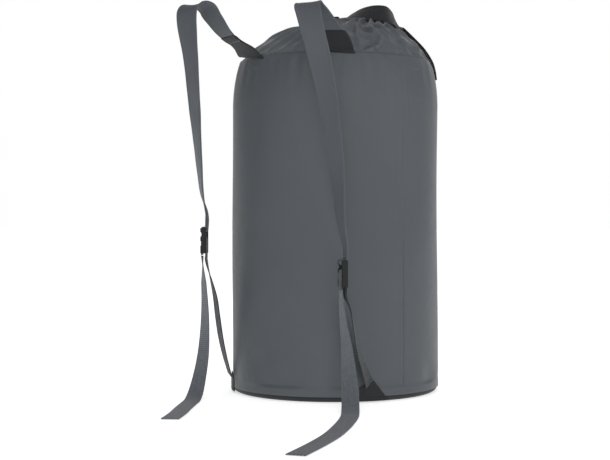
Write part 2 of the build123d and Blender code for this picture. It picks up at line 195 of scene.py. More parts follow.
def frames(centres, across):
    """Unit directions along, across and out of a band."""
    along = np.gradient(centres, axis=0)
    along /= np.linalg.norm(along, axis=1)[:, None]
    wide = across - along * np.sum(across * along, axis=1)[:, None]
    wide /= np.linalg.norm(wide, axis=1)[:, None]
    return along, wide, np.cross(along, wide)


def band(name, centres, across, widths, thick, edge_roll=0.0, sway=0.0, seed=1):
    """A closed band of webbing or folded cloth. edge_roll thickens its edges; sway lets it ripple."""
    along, wide, out = frames(centres, across)
    spots = np.array([-1, -0.985, -0.93, -0.86, -0.8, -0.6, -0.3, 0, 0.3, 0.6, 0.8, 0.86, 0.93, 0.985, 1])
    groove = 0.8 * np.exp(-((np.abs(spots) - 0.82) / 0.03) ** 2)
    roll = np.exp(-((np.abs(spots) - 0.93) / 0.06) ** 2) - groove
    half = 0.5 * thick * (np.sqrt(np.clip(1 - np.abs(spots) ** 24, 0.02, 1)) + edge_roll * roll)
    profile = [(x, h) for x, h in zip(spots, half)] + [(x, -h) for x, h in zip(spots[::-1], half[::-1])]
    random = np.random.default_rng(seed)
    phases = random.uniform(0, 2 * np.pi, 6)
    reach = running_length(centres)
    sways = sway * np.clip((reach - 0.004) / 0.04, 0, 1)
    ripple = sum(np.sin(reach * f + p) / (k + 1) for k, (f, p) in enumerate(zip((38, 71, 117), phases)))
    tilt = sum(np.sin(reach * f + p) / (k + 1) for k, (f, p) in enumerate(zip((52, 97, 160), phases[3:])))
    points, uv = [], []
    for i in range(len(centres)):
        for x, h in profile:
            lift = h + sways[i] * (ripple[i] * (1 - x * x) + 0.5 * tilt[i] * x)
            points.append(centres[i] + wide[i] * x * widths[i] / 2 + out[i] * lift)
            uv.append((x * widths[i] / 2, reach[i]))
    count = len(profile)
    faces = grid_faces(len(centres), count, wrap=True)
    faces.append(tuple(range(count))[::-1])
    faces.append(tuple(range((len(centres) - 1) * count, len(centres) * count)))
    return mesh_object(name, points, faces, uv)


def thicken(piece):
    """Gives a single sheet of cloth its thickness, inwards."""
    solid = piece.modifiers.new("thickness", "SOLIDIFY")
    solid.thickness = cloth_thickness
    solid.offset = -1


def stitch_row(points, normals, length=2.4 * MM, gap=1.1 * MM, radius=0.28 * MM):
    """Vertices and faces of a line of stitches: short raised threads along the points."""
    reach = running_length(points)
    starts = np.arange(0, reach[-1] - length, length + gap)
    vertices, faces = [], []
    ring = [(np.cos(a), np.sin(a)) for a in np.linspace(0, 2 * np.pi, 6, endpoint=False)]
    for start in starts:
        spots = start + length * np.array([0, 0.2, 0.8, 1])
        base = np.column_stack([np.interp(spots, reach, points[:, k]) for k in range(3)])
        up = np.column_stack([np.interp(spots, reach, normals[:, k]) for k in range(3)])
        heading = base[-1] - base[0]
        side = np.cross(heading / np.linalg.norm(heading), up[0])
        first = len(vertices)
        for k, (sink, size) in enumerate(((-0.3, 0.5), (0.4, 1), (0.4, 1), (-0.3, 0.5))):
            for c, s in ring:
                vertices.append(base[k] + up[k] * radius * (sink + size * s) + side * radius * size * c)
        for i, j, m, n in grid_faces(4, 6, wrap=True):
            faces.append((first + i, first + j, first + m, first + n))
        faces.append(tuple(first + np.arange(6))[::-1])
        faces.append(tuple(first + 18 + np.arange(6)))
    return vertices, faces


def stitches(name, rows, material):
    """One piece that holds several rows of stitches, each a pair (points, normals)."""
    vertices, faces = [], []
    for points, normals in rows:
        more, more_faces = stitch_row(points, normals)
        faces += [tuple(len(vertices) + np.array(face)) for face in more_faces]
        vertices += more
    piece = mesh_object(name, vertices, faces)
    piece.data.materials.append(material)
    return piece


# ---- materials -----------------------------------------------------------------------------------
def new_material(name, roughness, sheen=0.0, specular=0.4):
    """A material, its node tree and its shader."""
    material = bpy.data.materials.new(name)
    material.use_nodes = True
    surface = material.node_tree.nodes["Principled BSDF"]
    surface.inputs["Roughness"].default_value = roughness
    surface.inputs["Specular IOR Level"].default_value = specular
    surface.inputs["Sheen Weight"].default_value = sheen
    surface.inputs["Sheen Roughness"].default_value = 0.4
    return material, material.node_tree, surface


def add(tree, kind, **settings):
    """Adds a shader node and sets its sockets or properties by name."""
    node = tree.nodes.new(kind)
    for key, value in settings.items():
        if key in node.inputs:
            node.inputs[key].default_value = value
        else:
            setattr(node, key, value)
    return node


def math_node(tree, operation, first, second=None):
    """A sum on two numbers or sockets; gives the result's socket."""
    node = tree.nodes.new("ShaderNodeMath")
    node.operation = operation
    for socket, value in zip(node.inputs, (first, second)):
        if value is None:
            continue
        if isinstance(value, (int, float)):
            socket.default_value = value
        else:
            tree.links.new(value, socket)
    return node.outputs[0]


def colour_mix(tree, factor, low, high):
    """A colour between two, by a factor socket."""
    ramp = add(tree, "ShaderNodeValToRGB")
    ramp.color_ramp.elements[0].color = (*low, 1)
    ramp.color_ramp.elements[1].color = (*high, 1)
    tree.links.new(factor, ramp.inputs["Fac"])
    return ramp.outputs["Color"]


def bump(tree, surface, height, strength, distance, after=None):
    """Raises the surface by a height socket, over another bump if one is given."""
    node = add(tree, "ShaderNodeBump")
    node.inputs["Strength"].default_value = strength
    node.inputs["Distance"].default_value = distance
    tree.links.new(height, node.inputs["Height"])
    if after is not None:
        tree.links.new(after, node.inputs["Normal"])
    tree.links.new(node.outputs["Normal"], surface.inputs["Normal"])
    return node.outputs["Normal"]


def cloth_material(name, low, high, roughness=0.55, weave=2600.0, crumple=0.5, sheen=0.15):
    """Coated woven cloth: soft uneven shade, fine creases and a plain weave."""
    material, tree, surface = new_material(name, roughness, sheen)
    where = add(tree, "ShaderNodeTexCoord").outputs["Object"]
    broad = add(tree, "ShaderNodeTexNoise", Scale=6.0, Detail=4.0, Roughness=0.55)
    creases = add(tree, "ShaderNodeTexNoise", Scale=34.0, Detail=6.0, Roughness=0.6, Distortion=0.6)
    for node in (broad, creases):
        tree.links.new(where, node.inputs["Vector"])
    shade = colour_mix(tree, broad.outputs["Fac"], low, high)
    tree.links.new(shade, surface.inputs["Base Color"])
    split = add(tree, "ShaderNodeSeparateXYZ")
    tree.links.new(where, split.inputs[0])
    warp = math_node(tree, "SINE", math_node(tree, "MULTIPLY", math_node(tree, "ADD", split.outputs[0],
                                                                      split.outputs[1]), weave))
    weft = math_node(tree, "SINE", math_node(tree, "MULTIPLY", split.outputs[2], weave))
    threads = math_node(tree, "MULTIPLY", warp, weft)
    soft = bump(tree, surface, creases.outputs["Fac"], crumple, 0.0016)
    bump(tree, surface, threads, 0.22, 0.00015, soft)
    rough = add(tree, "ShaderNodeMapRange")
    rough.inputs["To Min"].default_value = roughness - 0.07
    rough.inputs["To Max"].default_value = roughness + 0.1
    tree.links.new(creases.outputs["Fac"], rough.inputs["Value"])
    tree.links.new(rough.outputs["Result"], surface.inputs["Roughness"])
    return material


def webbing_material(name, low, high, herringbone=True, roughness=0.72):
    """Woven webbing: ribs along its length, and a herringbone of twill lines across it."""
    material, tree, surface = new_material(name, roughness, 0.25, 0.3)
    where = add(tree, "ShaderNodeUVMap", uv_map="weave").outputs["UV"]
    split = add(tree, "ShaderNodeSeparateXYZ")
    tree.links.new(where, split.inputs[0])
    x, y = split.outputs[0], split.outputs[1]
    zigzag = math_node(tree, "PINGPONG", x, 4.2 * MM)
    slanted = math_node(tree, "ADD", y, math_node(tree, "MULTIPLY", zigzag, 1.0 if herringbone else 0.0))
    twill = math_node(tree, "SINE", math_node(tree, "MULTIPLY", slanted, 2 * np.pi / (3.0 * MM)))
    ribs = math_node(tree, "SINE", math_node(tree, "MULTIPLY", x, 2 * np.pi / (1.05 * MM)))
    twill_share = math_node(tree, "MULTIPLY", twill, 0.7)
    rib_share = math_node(tree, "MULTIPLY", ribs, 0.3)
    weave = math_node(tree, "ADD", twill_share, rib_share)
    factor = math_node(tree, "MULTIPLY_ADD", weave, 0.55)
    tree.nodes[-1].inputs[2].default_value = 0.5
    uneven = add(tree, "ShaderNodeTexNoise", Scale=180.0, Detail=3.0)
    tree.links.new(add(tree, "ShaderNodeTexCoord").outputs["Object"], uneven.inputs["Vector"])
    centred = math_node(tree, "SUBTRACT", uneven.outputs["Fac"], 0.5)
    mixed = math_node(tree, "ADD", factor, math_node(tree, "MULTIPLY", centred, 0.35))
    tree.links.new(colour_mix(tree, mixed, low, high), surface.inputs["Base Color"])
    bump(tree, surface, weave, 0.6, 0.0004)
    return material


def plastic_material(name, colour):
    """Moulded acetal with a faint spark-eroded grain."""
    material, tree, surface = new_material(name, 0.45, 0.0, 0.3)
    grain = add(tree, "ShaderNodeTexNoise", Scale=900.0, Detail=2.0)
    smudge = add(tree, "ShaderNodeTexNoise", Scale=60.0, Detail=3.0)
    where = add(tree, "ShaderNodeTexCoord").outputs["Object"]
    for node in (grain, smudge):
        tree.links.new(where, node.inputs["Vector"])
    brighter = tuple(1.6 * c for c in colour)
    tree.links.new(colour_mix(tree, smudge.outputs["Fac"], colour, brighter), surface.inputs["Base Color"])
    bump(tree, surface, grain.outputs["Fac"], 0.15, 0.0002)
    return material


def thread_material(name, low, high, pitch):
    """Twisted thread or braided cord."""
    material, tree, surface = new_material(name, 0.7, 0.3, 0.3)
    strands = add(tree, "ShaderNodeTexWave", Scale=pitch, Distortion=1.5)
    tree.links.new(add(tree, "ShaderNodeTexCoord").outputs["Object"], strands.inputs["Vector"])
    tree.links.new(colour_mix(tree, strands.outputs["Fac"], low, high), surface.inputs["Base Color"])
    bump(tree, surface, strands.outputs["Fac"], 0.5, 0.0003)
    return material


def steel_material(name):
    """Bright drawn wire."""
    material, tree, surface = new_material(name, 0.3, 0.0, 0.5)
    surface.inputs["Metallic"].default_value = 1.0
    lines = add(tree, "ShaderNodeTexNoise", Scale=400.0, Detail=2.0)
    tree.links.new(add(tree, "ShaderNodeTexCoord").outputs["Object"], lines.inputs["Vector"])
    tree.links.new(colour_mix(tree, lines.outputs["Fac"], (0.5, 0.51, 0.53), (0.66, 0.67, 0.69)),
                   surface.inputs["Base Color"])
    return material


bag_cloth = cloth_material("bag_cloth", (0.065, 0.0735, 0.082), (0.083, 0.094, 0.105), 0.5, sheen=0.08)
cap_fabric = cloth_material(
    "cap_cloth", (0.06, 0.068, 0.076), (0.095, 0.107, 0.12),
    0.48, crumple=1.0, sheen=0.08,
)
black_cloth = cloth_material(
    "black_cloth", (0.0045, 0.006, 0.0085), (0.0085, 0.011, 0.0145),
    0.62, sheen=0.03,
)
strap_cloth = cloth_material(
    "strap_cloth", (0.062, 0.07, 0.08), (0.083, 0.094, 0.107),
    0.58, crumple=0.35, sheen=0.06,
)
grey_webbing = webbing_material("grey_webbing_weave", (0.02, 0.023, 0.028), (0.215, 0.24, 0.27))
black_webbing = webbing_material("black_webbing_weave", (0.005, 0.0055, 0.007), (0.017, 0.018, 0.021))
tape_weave = cloth_material("tape_weave", (0.018, 0.02, 0.023), (0.03, 0.033, 0.037), 0.7, 3600.0, 0.2)
# Painted shade: a darker copy of the grey webbing, for the adjuster runs that lie in shadow behind the
# buckles and tails.
shaded_webbing = webbing_material("shaded_webbing_weave", (0.008, 0.0095, 0.0125), (0.044, 0.05, 0.059))
black_plastic = plastic_material("black_acetal", (0.0035, 0.0042, 0.0055))
cord_braid = thread_material("cord_braid", (0.008, 0.009, 0.011), (0.03, 0.032, 0.037), 260.0)
grey_thread = thread_material("grey_thread", (0.05, 0.055, 0.064), (0.11, 0.12, 0.135), 900.0)
black_thread = thread_material("black_thread", (0.012, 0.013, 0.016), (0.035, 0.038, 0.044), 900.0)
wire = steel_material("spring_wire")

# ---- webbing tails: the free cords come first ----------------------------------------------------
# Places are azimuth from the back, radius, height, and for a band its direction across in degrees.
buckle_places = {"right": (33.1, 203.6, 188, -50), "left": (-40.4, 209.5, 233, -60)}
tail_routes = {
    "right": [
        (32.8, 208, 126, -39), (34.3, 210, 92, -25), (35.0, 214, 58, -11), (35.2, 231, 24, 1),
        (34.6, 264, 1.2, 13), (33.6, 307, 1.2, 21), (32.1, 356, 1.2, 21), (30.8, 403, 1.2, 20),
        (29.6, 449, 1.2, 18), (28.2, 495, 1.2, 15), (26.9, 540, 1.2, 12), (25.7, 583, 1.2, 11),
    ],
    "left": [
        (-39.8, 211, 170, -38), (-39.2, 209.5, 134, -30), (-38.4, 210.5, 98, -22), (-37.6, 214, 60, -12),
        (-34.4, 225, 25, -3), (-28.0, 244, 1.2, 11), (-19.9, 274, 1.2, 23), (-13.0, 311, 1.2, 28),
        (-8.0, 346, 1.2, 29), (-4.5, 384, 1.2, 25),
    ],
}
tail_rows = 150
middle_bar_rise = 2.0
front_leg = 23.0  # webbing that lies straight down the buckle's front
tail_gap = 2.0  # between the front leg's end and the tail's first point
woven_roll = 0.12  # how far webbing thickens at its woven edges, as a share of its thickness
webbing_width = 25 * MM
webbing_thickness = 1.6 * MM
wrap_middle = 3.2  # from the buckle's middle plane to the middle of the webbing round its bar


def in_buckle(side, up, out):
    """A point on the buckle's middle plane, in metres, from millimetres up and out towards the tail."""
    azimuth, radius, height, across = buckle_places[side]
    return place(azimuth, radius, height + up) + level(across - 90) * out * MM


def nurbs_line(name, points, bevel=0.0):
    """A curve whose control points are the route's points."""
    data = bpy.data.curves.new(name, "CURVE")
    data.dimensions = "3D"
    data.resolution_u = 12
    data.bevel_depth = bevel
    data.bevel_resolution = 4
    data.use_fill_caps = True
    line = data.splines.new("NURBS")
    line.points.add(len(points) - 1)
    for spot, point in zip(line.points, points):
        spot.co = (*map(float, point), 1)
    line.order_u = 3
    line.use_endpoint_u = True
    piece = bpy.data.objects.new(name, data)
    bpy.context.collection.objects.link(piece)
    return piece


def read_line(points):
    """The points along the route's smooth line."""
    guide = nurbs_line("guide", points)
    mesh = bpy.data.meshes.new_from_object(guide)
    line = np.array([vertex.co[:] for vertex in mesh.vertices])
    bpy.data.objects.remove(guide)
    return line


def make_tail(side):
    """The free tail of the adjuster webbing, from the buckle's front down to the floor and out along it."""
    route = tail_routes[side]
    start = in_buckle(side, middle_bar_rise - front_leg - tail_gap, wrap_middle)
    points = [start] + [place(azimuth, radius, height) for azimuth, radius, height, _ in route]
    line = read_line(points)
    reach = running_length(line)
    even = np.linspace(0, reach[-1], tail_rows)
    centres = np.column_stack([np.interp(even, reach, line[:, k]) for k in range(3)])
    angles = [buckle_places[side][3]] + [angle for _, _, _, angle in route]
    corners = [float(np.argmin(np.linalg.norm(line - point, axis=1))) for point in points]
    facing = np.interp(np.interp(even, reach, np.arange(len(line))), corners, angles)
    across = np.array([level(angle) for angle in facing])
    widths = np.full(tail_rows, webbing_width)
    tail = band(f"tail_webbing_{side}", centres, across, widths, webbing_thickness, woven_roll)
    tail.data.materials.append(grey_webbing)
    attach(tail, f"strap_{side}")
    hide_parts(f"webbing_tail_{side}")


# ---- drawcord ------------------------------------------------------------------------------------
mouth = np.array([37.4, 33.2])
ends_heading = 180
cord_radius = 1.75 * MM
free_end_route = [
    (30.9, 5.0, 575.4), (37.0, 3.3, 576.5), (46.0, 2.15, 577.7), (62.0, 2.2, 577.9), (82.0, 2.8, 577.4),
]


def at_mouth(x, y, z):
    """Metres from the mouth's own frame, whose +X is the way that the drawcord's free ends lie."""
    sideways = level(ends_heading + 90) * y
    return (np.array([*mouth, 0]) + level(ends_heading) * x + sideways + [0, 0, z]) * MM


def make_drawcord_end(side, name):
    """A free end of the drawcord, from its eyelet through the cord lock to the knot."""
    points = [at_mouth(x, side * y, z) for x, y, z in free_end_route]
    cord = nurbs_line(f"drawcord_{name}", points, cord_radius)
    cord.data.materials.append(cord_braid)
    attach(cord, "bag")
    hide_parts(f"drawcord_end_{name}")


# ---- body cloth ----------------------------------------------------------------------------------
body_radius = 160.0
yoke_radius = 149.0
yoke_height = 508.0
shoulder_height = 437.0  # where the side starts to lean in
seam_azimuth = 69.0


def wall_radius(z):
    """The side's outer radius in millimetres at a height."""
    lean = body_radius - yoke_radius
    rise = yoke_height - shoulder_height
    bend = (rise**2 + lean**2) / (2 * lean)
    above = np.clip(z - shoulder_height, 0, None)
    return np.where(z < shoulder_height, body_radius, body_radius - bend + np.sqrt(bend**2 - above**2))


def soft_noise(a, b, seed, scale_a, scale_b, waves=7):
    """A smooth uneven field over two coordinates, about -1 to 1."""
    random = np.random.default_rng(seed)
    total = np.zeros(np.broadcast(a, b).shape)
    for _ in range(waves):
        fa = random.uniform(0.4, 1.6) * scale_a
        fb = random.uniform(0.4, 1.6) * scale_b
        total = total + np.sin(fa * a + fb * b * random.choice([-1, 1]) + random.uniform(0, 2 * np.pi))
    return total / np.sqrt(waves * 2)


def wall_offset(azimuth, z):
    """How far the cloth stands off the plain cylinder: loose folds, seam puckers and creases at the foot."""
    turn = np.radians(azimuth)
    loose = 1.3 * soft_noise(turn, z, 3, 5.0, 0.012)
    top = np.clip((z - 430) / 78, 0, 1)
    gathers = 1.6 * top**2 * soft_noise(turn, z * 0, 8, 34.0, 0.0)
    foot = np.clip((75 - z) / 75, 0, 1)
    creases = 1.5 * foot * soft_noise(turn, z, 12, 16.0, 0.05)
    seam = np.zeros_like(loose)
    for place_of_seam in (-seam_azimuth, seam_azimuth, 360 - seam_azimuth):
        away = (azimuth - place_of_seam) * np.pi * body_radius / 180
        seam -= 0.7 * np.exp(-(away / 1.6) ** 2)
        seam += 0.35 * np.exp(-((np.abs(away) - 5) / 3) ** 2)
        towards_top = 0.3 + 0.7 * np.clip((z - 380) / 100, 0, 1)
        pucker = np.sin(z * 0.21 + away * 0.12 + 2.5 * np.sin(z * 0.023)) * towards_top
        seam += 0.55 * np.exp(-(away / 16) ** 2) * pucker
    return loose + gathers + creases + seam


def make_wall(name, low, high, columns, replaced):
    """A panel of the side between two seams, sewn to the base below and the cap above."""
    foot = np.linspace(8, 40, 14, endpoint=False)
    middle = np.linspace(40, 420, 100, endpoint=False)
    heights = np.concatenate([foot, middle, np.linspace(420, yoke_height, 46)])
    azimuths = np.linspace(low, high, columns)
    grid_a, grid_z = np.meshgrid(azimuths, heights)
    ends = np.clip((grid_z - 8) / 14, 0.25, 1) * np.clip((yoke_height - grid_z) / 10, 0.1, 1)
    radius = wall_radius(grid_z) + ends * wall_offset(grid_a, grid_z) - 0.3
    over_base = grid_z < 20
    radius = np.where(over_base, np.maximum(radius, 160.9), radius)
    over_tape = (grid_z > 490) | (np.minimum(grid_a - low, high - grid_a) < 4)
    radius = np.where(over_tape, np.maximum(radius, wall_radius(grid_z) - 0.6), radius)
    turn = np.radians(grid_a)
    points = np.stack([radius * np.sin(turn), -radius * np.cos(turn), grid_z], axis=-1)
    wall = mesh_object(name, points.reshape(-1, 3) * MM, grid_faces(len(heights), columns))
    thicken(wall)
    wall.data.materials.append(bag_cloth)
    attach(wall, "bag")
    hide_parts(replaced)


# ---- gathered cap and hem ------------------------------------------------------------------------
cap_rings = [  # x and y of the middle, radius, height
    (0, 0, 148.6, 508), (1.8, 1.2, 142, 515), (6, 3.8, 130.2, 527), (10, 6.4, 105.5, 546),
    (17.5, 12.2, 79.5, 560), (26, 21, 58, 567), (37.4, 33.2, 29.5, 571),
]
pleats = 30
lock_bottom = 569.8  # the cloth lies flat under the cord lock, all along the way that it slides
lock_distance = 54
lock_travel = 20
lock_near = mouth[0] - lock_distance
lock_far = lock_near - lock_travel
flat_radius = 8.5  # of the flat patch under the lock


def pleat_shape(turn, seed=5):
    """Sharp uneven ridges round the mouth, from 0 in the hollows to about 1 on the crests."""
    random = np.random.default_rng(seed)
    height = np.zeros_like(turn)
    for k in range(pleats):
        middle = 2 * np.pi * (k + random.uniform(-0.3, 0.3)) / pleats
        width = 2 * np.pi / pleats * random.uniform(0.17, 0.36)
        tall = random.uniform(0.45, 1.0)
        away = (turn - middle + np.pi) % (2 * np.pi) - np.pi
        height = np.maximum(height, tall * np.exp(-(np.abs(away) / width) ** 1.4))
    return height


def add_large_folds(points):
    """A crescent-shaped fold right of the right strap, and a slit-like fold that runs up to the mouth."""
    radius = np.hypot(points[..., 0], points[..., 1])
    heading = np.degrees(np.arctan2(points[..., 1], points[..., 0]))
    height = points[..., 2]
    crest = np.interp(height, (505, 511, 521, 536, 547, 556), (-45, -41, -32, -26, -28, -31))
    away = np.radians(heading - crest) * radius
    within = np.clip((height - 509) / 6, 0, 1) * np.clip((556 - height) / 8, 0, 1)
    fold = within * (4.4 * np.exp(-(away / 4.5) ** 2) - 3.4 * np.exp(-((away + 8) / 5) ** 2))
    slit = np.interp(height, (508, 545, 565), (0, -18, -22))
    away = np.radians(heading - slit) * radius
    within = np.clip((height - 510) / 8, 0, 1) * np.clip((562 - height) / 8, 0, 1)
    fold += within * (2.6 * np.exp(-((away - 6) / 4) ** 2) - 5.0 * np.exp(-(away / 2.8) ** 2))
    points[..., 0] += 0.8 * fold * points[..., 0] / radius
    points[..., 1] += 0.8 * fold * points[..., 1] / radius
    points[..., 2] += 0.5 * fold


def make_cap():
    """The cap: smooth at the yoke seam, drawn up into pleats that meet at the mouth."""
    rows, columns = 90, 480
    rings = smooth_rows([(x, y, z, radius) for x, y, radius, z in cap_rings], rows)
    turns = np.linspace(0, 2 * np.pi, columns, endpoint=False)
    reach = np.linspace(0, 1, rows)
    sharp = pleat_shape(turns)
    points = np.zeros((rows, columns, 3))
    for i, (x, y, z, radius) in enumerate(rings):
        pull = reach[i]
        drift = turns + 0.12 * np.sin(3 * turns + 1) * pull
        depth = 1.8 + 10.5 * np.sin(np.pi * min(pull * 0.62, 1)) ** 1.4
        fold = (sharp - 0.35) * depth * np.clip(pull * 9, 0, 1)
        broad = 2.2 * np.sin(np.pi * min(pull * 1.25, 1)) * soft_noise(turns, pull, 21, 5.0, 3.0)
        puckers = 1.3 * np.exp(-(pull / 0.09) ** 2) * soft_noise(turns, pull, 31, 60.0, 4.0)
        seam = -1.2 * np.exp(-(pull / 0.02) ** 2)
        crumple = 1.3 * np.clip(pull * 6, 0, 1) * soft_noise(turns, pull, 41, 17.0, 22.0)
        lift = fold + crumple + broad * np.clip(pull * 8, 0, 1) + puckers * np.clip(pull * 25, 0, 1) + seam
        steep = np.clip(1 - pull * 1.3, 0.12, 1)
        points[i, :, 0] = x + (radius + lift * steep) * np.cos(drift)
        points[i, :, 1] = y + (radius + lift * steep) * np.sin(drift)
        points[i, :, 2] = z + lift * np.sqrt(1 - steep**2) * 0.9
    add_large_folds(points)
    along_lock = np.maximum(np.maximum(points[..., 0] - lock_near, lock_far - points[..., 0]), 0)
    from_lock = np.hypot(along_lock, points[..., 1] - mouth[1])
    ceiling = lock_bottom - 1.0 + 0.6 * np.clip(from_lock - flat_radius, 0, None)
    points[..., 2] = np.minimum(points[..., 2], ceiling)
    cap = mesh_object("cap_cloth", points.reshape(-1, 3) * MM, grid_faces(rows, columns, wrap=True))
    thicken(cap)
    cap.data.materials.append(cap_fabric)
    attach(cap, "bag")
    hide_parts("gathered_cap")


def make_hem():
    """The drawn-up hem round the mouth, puckered over the cord inside it."""
    columns, around = 360, 20
    turns = np.linspace(0, 2 * np.pi, columns, endpoint=False)
    sharp = pleat_shape(turns, 9)
    fine = soft_noise(turns, turns * 0, 14, 70.0, 0.0)
    points = np.zeros((columns, around, 3))
    angles = np.linspace(0, 2 * np.pi, around, endpoint=False)
    for j, angle in enumerate(angles):
        size = 3.6 + 1.5 * sharp + 0.3 * fine
        radius = 24.6 + size * np.cos(angle) + 0.6 * fine
        points[:, j, 0] = mouth[0] + radius * np.cos(turns)
        points[:, j, 1] = mouth[1] + radius * np.sin(turns)
        points[:, j, 2] = 575.2 + size * np.sin(angle) * 1.05
    faces = [tuple(reversed(face)) for face in grid_faces(columns, around, wrap=True)]
    last = (columns - 1) * around
    for j in range(around):
        k = (j + 1) % around
        faces.append((j, k, last + k, last + j))
    hem = mesh_object("hem_cloth", points.reshape(-1, 3) * MM, faces)
    hem.data.materials.append(bag_cloth)
    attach(hem, "bag")
    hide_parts("mouth_hem")


# ---- shoulder straps -----------------------------------------------------------------------------
strap_routes = {  # azimuth, radius, height, direction across, width
    "right": [
        (28, 150.8, 508.5, 28, 70), (28.4, 160, 522, 28, 54), (27, 169, 535, 23, 40),
        (23.5, 186, 551, 12, 40), (21.2, 200, 563, 5, 40), (20.2, 214, 567.5, 2, 40),
        (20.4, 227, 560, 0, 40), (21.7, 231, 536, -3, 40), (24.5, 227, 490, -9, 40),
        (27.5, 221, 431, -18, 40), (30.5, 213, 340, -29, 40), (32.2, 208, 266, -40, 36),
    ],
    "left": [
        (-28, 150.8, 508.5, -28, 70), (-26.8, 163, 519, -28, 54), (-26.2, 178, 527, -30, 40),
        (-26.7, 196, 541, -25, 40), (-27.8, 211, 561, -16, 40), (-28.7, 222, 576, -9, 40),
        (-29.5, 236, 580.5, -6, 40), (-29.6, 249, 575, -6, 40), (-29.7, 252, 556, -9, 40),
        (-29.8, 245, 499, -22, 40), (-31, 238, 441, -30, 40), (-33.8, 227, 368, -40, 40),
        (-36.9, 217, 304, -50, 37),
    ],
}
strap_thickness = 2.0 * MM
root_thickness = 3.6 * MM
root_top = 0.535
hem_inset = 3.6 * MM  # from a strap's edge to its stitching
loop_radius = 3.6  # round the buckle's top bar
top_bar_rise = 16.5
ripple_seeds = {"right": 7, "left": 8}


def strap_rows(side):
    """The strap's rows down to the loop round the buckle's top bar: place, direction across and width."""
    rows = []
    for azimuth, radius, height, angle, width in strap_routes[side]:
        rows.append([*place(azimuth, radius, height), angle, width * MM])
    for up, width in ((38.5, 28), (15.9, 24)):
        rows.append([*in_buckle(side, up, -loop_radius), buckle_places[side][3], width * MM])
    return smooth_rows(rows, 260)


def make_strap(side):
    """The black sewn root and the grey strap, with a line of stitching inside each edge."""
    rows = strap_rows(side)
    centres, angles, widths = rows[:, :3], rows[:, 3], rows[:, 4]
    across = np.array([level(angle) for angle in angles])
    high = np.argmax(centres[:, 2] > 0.534)
    low = max(high - 6, 0)
    joined = f"strap_{side}"
    past = high + 14
    root = band(f"anchor_cloth_{side}", centres[:past], across[:past], widths[:past] + 0.8 * MM,
                root_thickness, 0.2, 0.0, 4)
    cut_level(root, root_top)
    bend_root_to_wall(root)
    root.data.materials.append(black_cloth)
    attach(root, "bag")
    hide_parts(f"strap_anchor_{side}")
    strap = band(f"strap_cloth_{side}", centres[low:], across[low:], widths[low:],
                 strap_thickness, 0.35, 0.5 * MM, ripple_seeds[side])
    strap.data.materials.append(strap_cloth)
    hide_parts(f"shoulder_strap_{side}")
    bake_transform(strap)
    _, wide, out = frames(centres, across)
    rows_of_stitches = []
    for edge in (-1, 1):
        for face in (-1, 1):
            spots = centres + wide * (edge * (widths / 2 - hem_inset))[:, None] + out * (face * 0.62 * MM)
            rows_of_stitches.append((spots[high:], (out * face)[high:]))
    sewing = stitches(f"strap_stitches_{side}", rows_of_stitches, grey_thread)
    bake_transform(sewing)
    make_strap_loop(side, joined)


def make_strap_loop(side, joined):
    """The strap's end, turned round the buckle's top bar."""
    azimuth, radius, height, facing = buckle_places[side]
    centre = place(azimuth, radius, height + top_bar_rise)
    turns = np.radians(np.linspace(-90, 270, 60))
    ring = np.array([centre + level(facing - 90) * loop_radius * MM * np.sin(turn)
                     + np.array([0, 0, 1]) * loop_radius * MM * np.cos(turn) for turn in turns])
    across = np.tile(level(facing), (len(turns), 1))
    widths = np.full(len(turns), 24 * MM)
    loop = band(f"strap_loop_{side}", ring, across, widths, 1.9 * MM, 0.1)
    loop.data.materials.append(strap_cloth)
    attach(loop, joined)


def cut_level(piece, height):
    """Cuts a closed piece off at a height in metres, and closes the cut."""
    shape = bmesh.new()
    shape.from_mesh(piece.data)
    everything = shape.verts[:] + shape.edges[:] + shape.faces[:]
    bmesh.ops.bisect_plane(shape, geom=everything, plane_co=(0, 0, height), plane_no=(0, 0, 1),
                           clear_outer=True)
    rim = [edge for edge in shape.edges if edge.is_boundary]
    bmesh.ops.contextual_create(shape, geom=rim)
    shape.to_mesh(piece.data)
    shape.free()


def bend_root_to_wall(root):
    """Curves the wide foot of a strap's root round the bag, where the band alone would stand off it."""
    for vertex in root.data.vertices:
        x, y, z = vertex.co
        radius = (x * x + y * y) ** 0.5
        limit = (yoke_radius + 2.2) * MM + max(0.0, z - yoke_height * MM) * 0.9
        ease = min(1.0, max(0.0, (0.53 - z) / 0.018))
        if radius > limit:
            scale = 1 + ease * (limit / radius - 1)
            vertex.co.x *= scale
            vertex.co.y *= scale


# ---- adjuster webbing ----------------------------------------------------------------------------
anchor_routes = {
    "right": [
        (47.4, 165.5, 27, 90), (44, 171, 50, 102), (40.8, 177, 77, 109), (38.6, 183, 107, 115),
        (36.6, 191.5, 134, 121),
    ],
    "left": [
        (-49, 165, 26, -45), (-46.5, 174, 56, -41), (-44.5, 181.5, 87, -38), (-43, 187, 119, -38),
        (-41.8, 192.5, 152, -42),
    ],
}
run_turns = {"right": 180, "left": 0}  # the right run twists the other way up to its buckle


